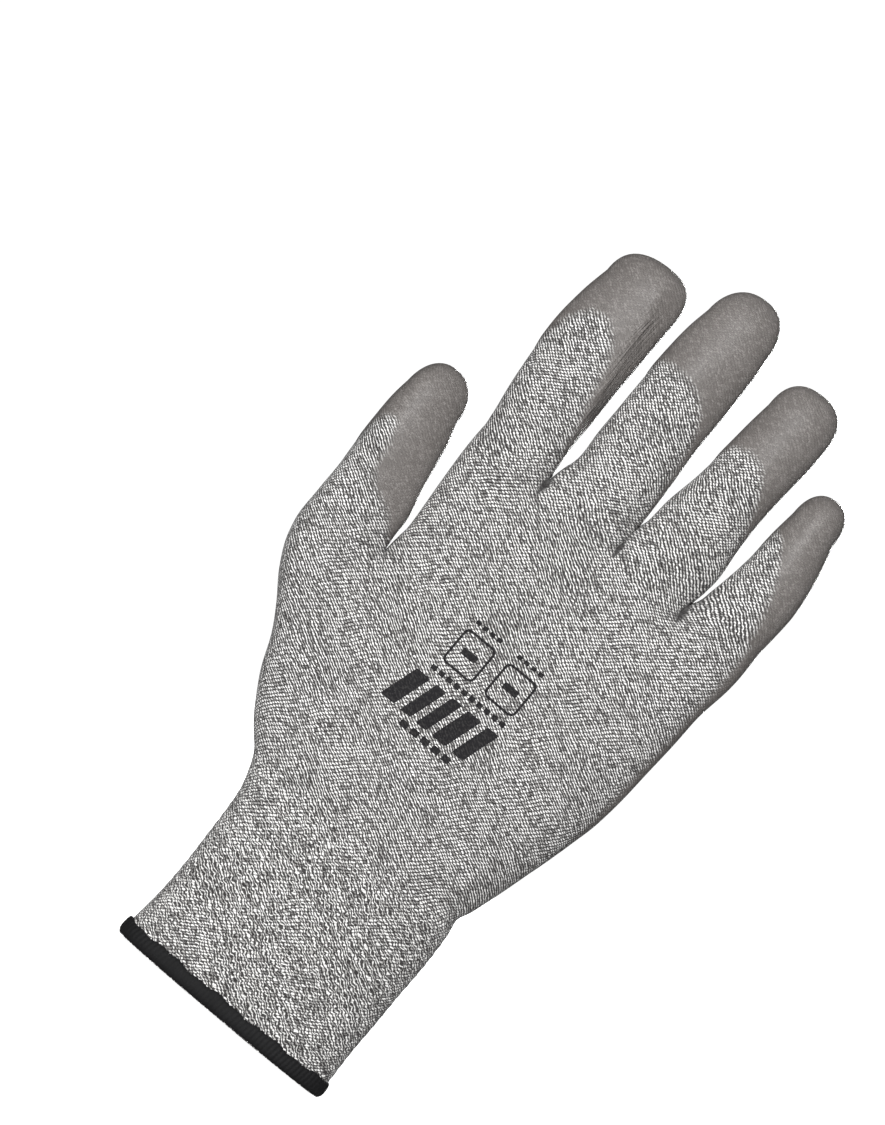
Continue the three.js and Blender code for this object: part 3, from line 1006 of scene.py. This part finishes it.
for region, members in regions.items():
    name, k = region
    chosen, back = zip(*members)
    part = picked(skin, skin_normals, chosen)
    if name in DIGITS:
        body = digit_bodies(name)[k + 1]
        knit_piece, film_name = body + "_knit", body + "_film"
        nodes = (body + "_liner", body + "_coating")
    elif name == "wrist":
        knit_piece, film_name, nodes = "wrist_knit", "wrist_film", (None, None)
    else:
        knit_piece, film_name = name + "_knit", name + "_film"
        nodes = (name + "_liner", "palm_coating" if name == "palm" else None)
    points, faces, normals, uv = part[:4]
    points, faces, normals = walled(points, faces, normals, WALL)
    both = list(back) * 2
    both += [0] * (len(faces) - len(both))
    knit = new_mesh(knit_piece, KNIT, points, faces, normals, np.vstack([uv, uv]), both)
    if nodes[0]:
        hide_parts(nodes[0])
    move_with(knit, region)
    coat = film_piece(film_name, part, back)
    if coat:
        if nodes[1]:
            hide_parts(nodes[1])
        move_with(coat, region)


# ---- hem, elastic, print
def cuff_loop(z, inset, count):
    """Evenly spaced points round the cuff at height z, and the outward directions there."""
    x, h, along = round_loop(*values_at(HAND, z), np.linspace(0, 2 * np.pi, 1441))
    places = np.linspace(0, along[-1], count, endpoint=False)
    px, py = np.interp(places, along, x), np.interp(places, along, -h)
    dx, dy = np.roll(px, -1) - np.roll(px, 1), np.roll(py, -1) - np.roll(py, 1)
    size = np.hypot(dx, dy)
    out = np.stack([dy / size, -dx / size], axis=1)
    return np.stack([px, py], axis=1) - inset * out, out


def make_hem():
    """The overlocked edge: threads wrapped side by side round the end of the cuff."""
    per_stitch, stitches_round = 8, 118
    count = per_stitch * stitches_round
    loop, out = cuff_loop(0, 0, count)
    # The thread's path over the edge, from outside to inside: outward, and height.
    profile = [
        (0.05, 4.75), (0.42, 4.55), (0.68, 3.9), (0.8, 2.9), (0.82, 1.9), (0.66, 0.95),
        (0.25, 0.25), (-0.35, 0.0), (-1.0, 0.1), (-1.55, 0.6), (-1.85, 1.5), (-1.9, 2.6),
        (-1.8, 3.6), (-1.45, 4.3), (-1.15, 4.5),
    ]
    index = np.arange(count)
    turn = 2 * np.pi * index / count
    edge = 0.28 * np.sin(turn * 9 + 1) + 0.2 * np.sin(turn * 23)
    points = []
    for j, (n, z) in enumerate(profile):
        lean = j * 0.9
        ridge = np.abs(np.sin(np.pi * (index + lean) / per_stitch))
        rise = z + edge * smooth((z - 2.5) / 2.0) + (0.22 * ridge if j < 2 or j > 12 else 0)
        push = n + 0.16 * (ridge - 0.6) * (1 if n > -0.5 else -1)
        points.append(np.column_stack([loop + out * push[:, None], rise]))
    faces = bands(len(profile), count)
    # The last row joins the first one, inside the knit.
    for i in range(count):
        a, b = (len(profile) - 1) * count + i, (len(profile) - 1) * count + (i + 1) % count
        faces.append([a, i, (i + 1) % count, b])
    hem = new_mesh("hem_overlock", HEM_THREAD, np.concatenate(points), faces)
    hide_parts("hem_binding")
    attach(hem, "cuff")


def tube(path, radius, sides=8):
    """Points and faces of a round thread along an open path, closed at both ends."""
    path = np.asarray(path, float)
    tangent = np.gradient(path, axis=0)
    tangent /= np.linalg.norm(tangent, axis=1, keepdims=True)
    up = np.array([0, 0, 1.0])
    side = np.cross(tangent, up)
    side /= np.linalg.norm(side, axis=1, keepdims=True)
    top = np.cross(side, tangent)
    turn = np.linspace(0, 2 * np.pi, sides, endpoint=False)
    ring = side[:, None] * np.cos(turn)[None, :, None] + top[:, None] * np.sin(turn)[None, :, None]
    points = (path[:, None] + radius * ring).reshape(-1, 3)
    faces = bands(len(path), sides)
    faces.append(list(range(sides)))
    faces.append(list(range((len(path) - 1) * sides, len(path) * sides))[::-1])
    return points, faces


def make_elastic():
    """Elastic yarn lying against the inside of the cuff, a turn every few courses."""
    low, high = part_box("cuff_elastic")
    turns, steps = 6, 220
    start = low[2] / MM + 0.4
    pitch = (high[2] - low[2]) / MM / turns - 0.1
    path = []
    for i in range(turns * steps + 1):
        z = start + pitch * i / steps
        loop, _ = cuff_loop(z, WALL + 0.45, steps)
        x, y = loop[i % steps]
        path.append((x, y, z + 0.12 * math.sin(i * 0.9)))
    yarn = new_mesh("cuff_elastic_yarn", YARN, *tube(path, 0.3))
    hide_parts("cuff_elastic")
    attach(yarn, "cuff")


make_hem()
make_elastic()


def box_distance(x, z, centre, half, slant=0.0, corner=0.3):
    """Distance to a rounded, slanted box, negative inside."""
    dx = np.abs(x - centre[0] - slant * (z - centre[1])) - (half[0] - corner)
    dz = np.abs(z - centre[1]) - (half[1] - corner)
    outside = np.hypot(np.maximum(dx, 0), np.maximum(dz, 0))
    return outside + np.minimum(np.maximum(dx, dz), 0) - corner


def print_distance(x, z):
    """A plain printed block: slanted bars, rows of dashes and two open frames."""
    out = np.full(x.shape, 99.0)
    for centre, half in ((-18.2, 2.3), (-12.0, 1.7), (-6.6, 1.7), (-0.6, 2.3), (5.8, 1.9)):
        out = np.minimum(out, box_distance(x, z, (centre, 99.4), (half, 5.6), 0.30))
    for row, start, step, count, half in (
        (91.4, -12.0, 3.6, 5, (1.25, 0.95)),
        (108.0, -15.5, 2.6, 10, (0.85, 0.75)),
        (124.6, -14.0, 2.4, 4, (0.75, 0.6)),
        (124.6, 0.2, 2.4, 4, (0.75, 0.6)),
    ):
        for k in range(count):
            out = np.minimum(out, box_distance(x, z, (start + k * step, row), half, 0, 0.2))
    for centre in (-10.4, 3.8):
        frame_line = np.abs(box_distance(x, z, (centre, 116.4), (4.9, 5.3), 0, 1.5)) - 0.33
        out = np.minimum(out, frame_line)
        out = np.minimum(out, box_distance(x, z, (centre, 116.4), (2.4, 1.0), 0, 0.5))
    return out


def make_print():
    """The ink on the knit: a finer copy of that part of the skin, cut to the printed shapes."""
    chosen = []
    for f in skin.faces:
        x, y, z = skin.points[f].mean(axis=0)
        if len(f) == 4 and y < 0 and -26 < x < 18 and 88 < z < 128:
            chosen.append(f)
    points, faces, normals, uv = picked(skin, skin_normals, chosen)[:4]
    data = np.hstack([points, normals, uv])
    fine = 5
    rows, quads, seen = [], [], {}
    for f in faces:
        corner = data[f]
        ids = np.zeros((fine + 1, fine + 1), int)
        for i, j in np.ndindex(fine + 1, fine + 1):
            s, t = i / fine, j / fine
            value = corner[0] * (1 - s) * (1 - t) + corner[1] * s * (1 - t)
            value = value + corner[2] * s * t + corner[3] * (1 - s) * t
            key = tuple(np.round(value[:3], 4))
            if key not in seen:
                seen[key] = len(rows)
                rows.append(value)
            ids[i, j] = seen[key]
        for i, j in np.ndindex(fine, fine):
            quads.append([ids[i, j], ids[i + 1, j], ids[i + 1, j + 1], ids[i, j + 1]])
    rows = np.array(rows)
    depth = -print_distance(rows[:, 0], rows[:, 2])
    cut, cut_faces, _ = clipped(rows, quads, depth)
    normals = unit(cut[:, 3:6])
    points = cut[:, :3] + INK_RISE * normals
    mark = new_mesh("back_print_ink", INK, points, cut_faces, normals, cut[:, 6:8])
    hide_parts("back_print")
    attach(mark, "palm")


make_print()


# ---- floor, backdrop and light
def make_stage():
    """A pale floor that curves up all round, so that no view shows its edge. In metres."""
    floor, flat, bend, top = -0.0006, 3.5, 3, 4.5
    profile = [(0.0, 0.0), (2.0, 0.0), (flat, 0.0)]
    for a in np.linspace(0.1, math.pi / 2, 12):
        profile.append((flat + bend * math.sin(a), bend - bend * math.cos(a)))
    profile.append((flat + bend, top))
    sides = 96
    points = []
    for r, h in profile:
        for k in range(sides):
            a = 2 * math.pi * k / sides
            points.append((r * math.cos(a) / MM, r * math.sin(a) / MM, (floor + h) / MM))
    faces = [[f[0], f[3], f[2], f[1]] for f in bands(len(profile), sides)]
    n = Nodes("backdrop")
    place = n.node("TexCoord", {}, "Object")
    tone = n.mix(n.noise(place, 0.8), (0.30, 0.30, 0.30, 1), (0.33, 0.33, 0.33, 1))
    seen = n.node("LightPath", {}, "Is Camera Ray")
    glow = n.times(seen, 0.97, 0.03)
    n.set(Base_Color=tone, Roughness=0.9, Emission_Color=(1, 1, 1, 1), Emission_Strength=glow)
    sweep = new_mesh("backdrop", n.material, points, faces)


def area_light(name, place, size, power):
    """A square lamp that faces the middle of the glove."""
    data = bpy.data.lights.new(name, "AREA")
    data.shape = "RECTANGLE"
    data.size = data.size_y = size
    data.energy = power
    lamp = bpy.data.objects.new(name, data)
    lamp.location = place
    lamp.rotation_euler = (Vector(MIDDLE) - Vector(place)).to_track_quat("-Z", "Y").to_euler()
    bpy.context.scene.collection.objects.link(lamp)


make_stage()
world = bpy.data.worlds.new("world")
world.use_nodes = True
background = world.node_tree.nodes["Background"].inputs
background["Color"].default_value = (1, 1, 1, 1)
background["Strength"].default_value = 0.15
bpy.context.scene.world = world
area_light("key", (-0.30, -1.88, 0.48), 0.5, 44)
area_light("top", (0.2, -0.6, 1.8), 0.8, 2.5)
area_light("back", (0.35, 1.9, 0.6), 0.5, 44)
bpy.context.scene.view_settings.view_transform = "Standard"
